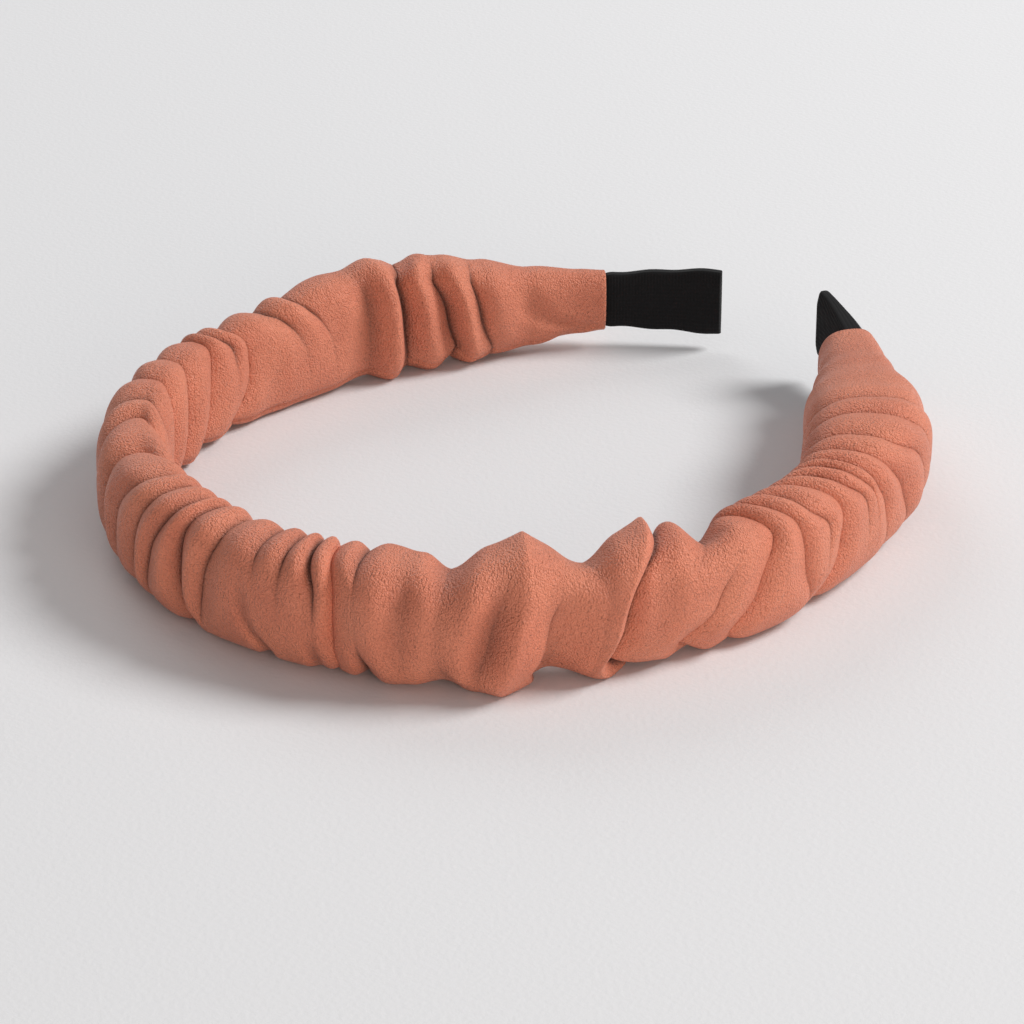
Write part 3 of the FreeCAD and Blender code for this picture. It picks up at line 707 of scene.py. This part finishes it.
def leather():
    """Coral leather: pebbled, finely wrinkled along the folds, with shade painted down in them.
    """
    made, nodes, links, shader = material("coral_leather")
    coords = nodes.new("ShaderNodeTexCoord")
    drift = node(nodes, "ShaderNodeTexNoise", Scale=90.0, Detail=3.0)
    links.new(coords.outputs["Object"], drift.inputs["Vector"])
    tone = ramp(nodes, ((0.3, srgb(226, 131, 99)), (0.7, srgb(238, 144, 110))))
    links.new(drift.outputs["Fac"], tone.inputs["Fac"])

    warp = node(nodes, "ShaderNodeTexNoise", Scale=1500.0, Detail=2.0)
    links.new(coords.outputs["Object"], warp.inputs["Vector"])
    bend = nodes.new("ShaderNodeVectorMath")
    bend.operation = "MULTIPLY_ADD"
    bend.inputs[1].default_value = (PEBBLE_WARP, PEBBLE_WARP, PEBBLE_WARP)
    links.new(warp.outputs["Color"], bend.inputs[0])
    links.new(coords.outputs["Object"], bend.inputs[2])
    pebbles = node(nodes, "ShaderNodeTexVoronoi", Scale=PEBBLES_PER_METRE)
    pebbles.feature = "SMOOTH_F1"
    pebbles.inputs["Smoothness"].default_value = 0.35
    links.new(bend.outputs["Vector"], pebbles.inputs["Vector"])
    creases = node(nodes, "ShaderNodeMapping", Scale=WRINKLES_PER_METRE)
    links.new(coords.outputs["UV"], creases.inputs["Vector"])
    wrinkles = node(nodes, "ShaderNodeTexNoise", Scale=1.0, Detail=4.0, Distortion=0.6)
    links.new(creases.outputs["Vector"], wrinkles.inputs["Vector"])
    fine = node(nodes, "ShaderNodeTexNoise", Scale=4200.0, Detail=3.0)
    links.new(coords.outputs["Object"], fine.inputs["Vector"])

    grain = bump(nodes, links, pebbles.outputs["Distance"], 1.0, 0.00026)
    grain.invert = True
    grain = bump(nodes, links, wrinkles.outputs["Fac"], 1.0, 0.00028, grain)
    grain = bump(nodes, links, fine.outputs["Fac"], 0.3, 0.00005, grain)
    links.new(grain.outputs["Normal"], shader.inputs["Normal"])

    pores = ramp(nodes, ((0.0, grey(1.0)), (0.75, grey(0.78))))
    links.new(pebbles.outputs["Distance"], pores.inputs["Fac"])
    # Painted shade: the colour darkens deep in the folds, a little where the leather is level,
    # and keeps its full tone on crests.
    relief = nodes.new("ShaderNodeAttribute")
    relief.attribute_name = "fold_shade_relief"
    shades = ((0.0, 0.28), (0.28, 0.68), (0.5, 0.93), (0.85, 1.0))
    painted_fold_shade = ramp(nodes, [(position, grey(value)) for position, value in shades])
    links.new(relief.outputs["Fac"], painted_fold_shade.inputs["Fac"])
    grained = multiply(nodes, links, tone.outputs["Color"], pores.outputs["Color"])
    shaded = multiply(nodes, links, grained, painted_fold_shade.outputs["Color"])
    links.new(shaded, shader.inputs["Base Color"])
    gloss = ramp(nodes, ((0.3, grey(0.46)), (0.7, grey(0.58))))
    links.new(wrinkles.outputs["Fac"], gloss.inputs["Fac"])
    links.new(gloss.outputs["Color"], shader.inputs["Roughness"])
    shader.inputs["Specular IOR Level"].default_value = 0.5
    shader.inputs["Sheen Weight"].default_value = 0.08
    shader.inputs["Sheen Roughness"].default_value = 0.5
    return made


def grosgrain():
    """Black ribbed ribbon. The ribs are in its mesh, and its yarns are here."""
    made, nodes, links, shader = material("black_grosgrain")
    coords = nodes.new("ShaderNodeTexCoord")
    yarns = node(nodes, "ShaderNodeTexWave", Scale=420.0, Distortion=0.5, Detail=2.0)
    yarns.bands_direction = "Y"
    links.new(coords.outputs["UV"], yarns.inputs["Vector"])
    fuzz = node(nodes, "ShaderNodeTexNoise", Scale=3500.0, Detail=4.0)
    links.new(coords.outputs["Object"], fuzz.inputs["Vector"])
    tone = ramp(nodes, ((0.3, srgb(11, 11, 12)), (0.75, srgb(20, 20, 22))))
    links.new(fuzz.outputs["Fac"], tone.inputs["Fac"])
    links.new(tone.outputs["Color"], shader.inputs["Base Color"])
    weave = bump(nodes, links, yarns.outputs["Fac"], 0.5, 0.00008)
    weave = bump(nodes, links, fuzz.outputs["Fac"], 0.4, 0.00005, weave)
    links.new(weave.outputs["Normal"], shader.inputs["Normal"])
    shader.inputs["Roughness"].default_value = 0.85
    shader.inputs["Specular IOR Level"].default_value = 0.25
    shader.inputs["Sheen Weight"].default_value = 0.08
    shader.inputs["Sheen Roughness"].default_value = 0.4
    return made


def simple(name, colour, roughness, grain, strength, distance=0.00005):
    """A moulded, foamed or spun material: noise in its tone and in its surface."""
    made, nodes, links, shader = material(name)
    coords = nodes.new("ShaderNodeTexCoord")
    noise = node(nodes, "ShaderNodeTexNoise", Scale=grain, Detail=4.0)
    links.new(coords.outputs["Object"], noise.inputs["Vector"])
    dark = srgb(*[c * 0.9 for c in colour])
    tone = ramp(nodes, ((0.35, dark), (0.65, srgb(*colour))))
    links.new(noise.outputs["Fac"], tone.inputs["Fac"])
    links.new(tone.outputs["Color"], shader.inputs["Base Color"])
    lump = bump(nodes, links, noise.outputs["Fac"], strength, distance)
    links.new(lump.outputs["Normal"], shader.inputs["Normal"])
    shader.inputs["Roughness"].default_value = roughness
    return made


# ---------------------------------------------------------------- ribbons

# Values for the left (-1) and the right (+1) ribbon.
RIBBON_SHOWN = {-1.0: 22.5, 1.0: 15.8}      # length that shows past the cuff
RIBBON_LEVEL = {-1.0: -0.5, 1.0: 0.0}       # its middle above that of the core
RIBBON_RISE = {-1.0: 0.0, 1.0: 1.8}         # how much higher it stands at the tip
RIBBON_FLARE = {-1.0: 0.0, 1.0: 1.9}        # how far its outer face swells at the cuff
RIBBON_WAVE = {-1.0: 0.16, 1.0: 0.05}       # waviness of its edges

RIBBON_TALL, RIBBON_NARROW = 6.7, 5.6       # half height at the tip and at the cuff
RIBBON_HALF_THICK = 1.5     # from the core's middle plane to the ribbon's outer face
RIBBON_LENGTH = 32.5
RIBBON_CLOTH = 0.5          # thickness of the cloth
NARROW_PAST = 2.0           # it narrows until this far past the cuff
TUCK_START, TUCK_LENGTH, TUCK_NARROW = 1.0, 4.0, 0.8    # how it narrows inside the cuff
WAVE_TURN = 0.62            # radians per mm
RIB_PITCH, RIB_HEIGHT, RIB_FADE = 0.62, 0.07, 0.08
RIB_ROWS = 6.0              # mesh rows per rib
RIBBON_COLUMNS, POCKET_ROWS = 64, 24
ACROSS_POWER, DEPTH_POWER = 0.25, 0.22      # how square the section is
EDGE_THIN, EDGE_FROM, EDGE_WIDTH = 0.25, 0.55, 0.45     # how it thins towards its edges
TIP_ROUND = 0.4
WELD = 2e-6                 # metres


def ribbon_edges(back, side):
    """Middle level and half height of the folded ribbon at a distance back from the tip."""
    shown = RIBBON_SHOWN[side]
    narrow = smooth(back / (shown + NARROW_PAST))
    hidden = smooth((back - shown + TUCK_START) / TUCK_LENGTH)
    wave = RIBBON_WAVE[side] * np.sin(back * WAVE_TURN + side) * (1.0 - hidden)
    rise = RIBBON_RISE[side] * (1.0 - narrow)
    half = RIBBON_TALL + (RIBBON_NARROW - RIBBON_TALL) * narrow - TUCK_NARROW * hidden
    return MID_HEIGHT + RIBBON_LEVEL[side] + rise, half + wave


def ribbon_skin(side, back, inset, ribbed):
    """Rows of one face of the folded ribbon, from the tip backward, this far inside."""
    turn = np.arange(RIBBON_COLUMNS) / RIBBON_COLUMNS * 2.0 * math.pi
    b, a = np.meshgrid(back, turn, indexing="ij")
    level, half = ribbon_edges(b, side)
    across = np.sign(np.sin(a)) * np.abs(np.sin(a)) ** ACROSS_POWER
    depth = np.sign(np.cos(a)) * np.abs(np.cos(a)) ** DEPTH_POWER
    short = np.clip(1.0 - (b - inset) / TIP_ROUND, 0, 1)
    tip_round = np.sqrt(np.clip(1.0 - short ** 2, 0.0, 1.0))
    swell = 1.0 - EDGE_THIN * smooth((np.abs(across) - EDGE_FROM) / EDGE_WIDTH)
    rib = RIB_HEIGHT * (0.5 - 0.5 * np.cos(2.0 * math.pi * b / RIB_PITCH))
    edge = smooth((1.0 - np.abs(across)) / RIB_FADE)
    thick = (RIBBON_HALF_THICK * swell - inset + (rib * edge - RIB_HEIGHT) * ribbed) * tip_round
    flare = RIBBON_FLARE[side] * smooth(b / RIBBON_SHOWN[side]) * np.clip(depth, 0.0, 1.0)
    return place(side * (HALF_LENGTH - b), depth * thick + flare, level + across * (half - inset))


def ribbon_piece(name, side):
    """Grosgrain folded over one end: ribbed outside, with a pocket for the core inside."""
    outer_back = np.arange(0.0, RIBBON_LENGTH, RIB_PITCH / RIB_ROWS)
    inner_back = np.linspace(RIBBON_CLOTH, RIBBON_LENGTH, POCKET_ROWS)
    outside = ribbon_skin(side, outer_back, 0.0, 1.0)
    pocket = ribbon_skin(side, inner_back, RIBBON_CLOTH, 0.0)
    points = np.concatenate([pocket, outside[::-1]])
    if side > 0:
        points = points[:, ::-1]
    piece = grid_mesh(name, points)
    weld(piece)
    return piece


def weld(piece):
    """Joins points that lie on each other, where a rounded end closes."""
    mesh = bmesh.new()
    mesh.from_mesh(piece.data)
    bmesh.ops.remove_doubles(mesh, verts=mesh.verts, dist=WELD)
    bmesh.ops.recalc_face_normals(mesh, faces=mesh.faces)
    mesh.to_mesh(piece.data)
    mesh.free()


# ---------------------------------------------------------------- inner parts

CAD_WELD = 1e-7             # metres
SQUEEZE_SPOTS = 1600        # places along the path that a foam point's place is measured from
FOAM_SHARES = (0.9, 0.8, 0.84)  # of its offset inward, of its offset outward, of its height


def cut_half(source, name, keep_right):
    """A copy of half of a CAD node, cut and closed at the crown."""
    piece = bpy.data.objects.new(name, source.data.copy())
    bpy.context.scene.collection.objects.link(piece)
    mesh = bmesh.new()
    mesh.from_mesh(piece.data)
    bmesh.ops.remove_doubles(mesh, verts=mesh.verts, dist=CAD_WELD)
    everything = mesh.verts[:] + mesh.edges[:] + mesh.faces[:]
    cut = bmesh.ops.bisect_plane(
        mesh, geom=everything, plane_co=(0, 0, 0), plane_no=(1, 0, 0),
        clear_inner=keep_right, clear_outer=not keep_right)
    rim = [e for e in cut["geom_cut"] if isinstance(e, bmesh.types.BMEdge)]
    if rim:
        bmesh.ops.holes_fill(mesh, edges=rim, sides=0)
    bmesh.ops.recalc_face_normals(mesh, faces=mesh.faces)
    mesh.to_mesh(piece.data)
    mesh.free()
    return piece


def squeeze(piece, share_in, share_out, share_up):
    """Pulls a soft strip closer to the core, as the gathers press on it."""
    spots = np.linspace(-HALF_LENGTH, HALF_LENGTH, SQUEEZE_SPOTS)
    line = place(spots, 0.0, 0.0)[:, :2]
    x, y, heading = path(spots)
    side = np.where(spots >= 0, 1.0, -1.0)
    outward = np.stack([side * np.sin(heading), -np.cos(heading)], axis=1)
    for vertex in piece.data.vertices:
        point = np.array(vertex.co[:2]) / MM
        near = int(np.argmin(((line - point) ** 2).sum(axis=1)))
        u = (point - line[near]) @ outward[near]
        share = share_in if u < 0 else share_out
        vertex.co.xy = (point - outward[near] * u * (1.0 - share)) * MM
        vertex.co.z = (MID_HEIGHT + (vertex.co.z / MM - MID_HEIGHT) * share_up) * MM


def dress(piece, finish):
    """Gives a piece one material."""
    piece.data.materials.clear()
    piece.data.materials.append(finish)


# ---------------------------------------------------------------- build

CORAL = leather()
BLACK = grosgrain()
WHITE_PLASTIC = simple("core_plastic", (214, 214, 208), 0.4, 300.0, 0.1)
FOAM = simple("foam", (225, 220, 205), 0.95, 2500.0, 0.8, 0.0002)
TAPE = simple("tape", (200, 190, 165), 0.6, 900.0, 0.2)
CORAL_THREAD = simple("coral_thread", (196, 116, 92), 0.7, 3000.0, 0.5)
BLACK_THREAD = simple("black_thread", (16, 16, 18), 0.7, 3000.0, 0.5)
GLUE = simple("hot_melt_glue", (222, 214, 190), 0.35, 400.0, 0.2)

ANGLES = section_angles(AROUND, TYPICAL_REACH, TYPICAL_HALF)
FOLDS = Folds(ANGLES)

halves = {}
for side_name, is_left in (("left", True), ("right", False)):
    halves[side_name] = sleeve_half(side_name + "_sleeve_half", FOLDS, ANGLES, is_left)
    dress(halves[side_name], CORAL)

ribbons = {}
for side_name, side in (("left", -1.0), ("right", 1.0)):
    ribbons[side_name] = ribbon_piece(side_name + "_grosgrain_end", side)
    dress(ribbons[side_name], BLACK)

for side_name, piece in halves.items():
    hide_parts("ruched_sleeve")
    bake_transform(piece)

for side_name, piece in ribbons.items():
    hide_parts(side_name + "_end_ribbon")
    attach(piece, side_name + "_tip")

INNER = (
    ("hoop_core", WHITE_PLASTIC, "core_plastic"),
    ("outer_foam", FOAM, "foam"),
    ("inner_foam", FOAM, "foam"),
    ("outer_foam_tape", TAPE, "tape"),
    ("inner_foam_tape", TAPE, "tape"),
    ("sleeve_seam_thread", CORAL_THREAD, "coral_thread"),
)
FOAMS = ("outer_foam", "inner_foam")
for node_name, finish, slot in INNER:
    for side_name in ("left", "right"):
        half_name = side_name + "_half_" + node_name
        piece = cut_half(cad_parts[node_name], half_name, side_name == "right")
        dress(piece, finish)
        if node_name in FOAMS:
            squeeze(piece, *FOAM_SHARES)
        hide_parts(node_name)
        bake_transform(piece)

for side_name in ("left", "right"):
    dress(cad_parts[side_name + "_ribbon_glue"], GLUE)
    dress(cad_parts[side_name + "_cuff_stitches"], BLACK_THREAD)


# ---------------------------------------------------------------- stage

def floor():
    """A plain pale floor."""
    bpy.ops.mesh.primitive_plane_add(size=FLOOR_SIZE, location=(0, 0, 0))
    ground = bpy.context.object
    ground.name = "floor"
    made, nodes, links, shader = material("pale_floor")
    coords = nodes.new("ShaderNodeTexCoord")
    tooth = node(nodes, "ShaderNodeTexNoise", Scale=900.0, Detail=3.0)
    links.new(coords.outputs["Object"], tooth.inputs["Vector"])
    lump = bump(nodes, links, tooth.outputs["Fac"], 0.35, 0.0002)
    links.new(lump.outputs["Normal"], shader.inputs["Normal"])
    shader.inputs["Base Color"].default_value = srgb(*FLOOR_COLOUR)
    shader.inputs["Roughness"].default_value = 0.9
    shader.inputs["Specular IOR Level"].default_value = 0.1
    ground.data.materials.append(made)


def facing(azimuth, elevation):
    """The direction from the object towards a viewer or a light."""
    a, e = math.radians(azimuth), math.radians(elevation)
    return Vector((math.sin(a) * math.cos(e), -math.cos(a) * math.cos(e), math.sin(e)))


def area_light(name, azimuth, elevation, distance, size, power, colour):
    """A round soft light that points at the origin."""
    data = bpy.data.lights.new(name, "AREA")
    data.shape = "DISK"
    data.size = size
    data.energy = power
    data.color = colour
    lamp = bpy.data.objects.new(name, data)
    bpy.context.scene.collection.objects.link(lamp)
    back = facing(azimuth, elevation)
    lamp.location = back * distance
    lamp.rotation_euler = (-back).to_track_quat("-Z", "Y").to_euler()


def camera():
    """The camera of the main view."""
    data = bpy.data.cameras.new("camera")
    data.lens = LENS
    data.sensor_width = SENSOR
    data.clip_start, data.clip_end = NEAREST, FARTHEST
    eye = bpy.data.objects.new("camera", data)
    bpy.context.scene.collection.objects.link(eye)
    back = facing(AZIMUTH, ELEVATION)
    eye.location = Vector(AIM) * MM + back * DISTANCE * MM
    eye.rotation_euler = (-back).to_track_quat("-Z", "Y").to_euler()
    bpy.context.scene.camera = eye


floor()
for light_name, from_camera, *rest in LIGHTS:
    area_light(light_name, AZIMUTH + from_camera, *rest)
world = bpy.data.worlds.new("studio")
world.use_nodes = True
background = world.node_tree.nodes["Background"]
background.inputs["Color"].default_value = srgb(*STUDIO_COLOUR)
background.inputs["Strength"].default_value = STUDIO_STRENGTH
bpy.context.scene.world = world
bpy.context.scene.view_settings.view_transform = "Standard"
camera()
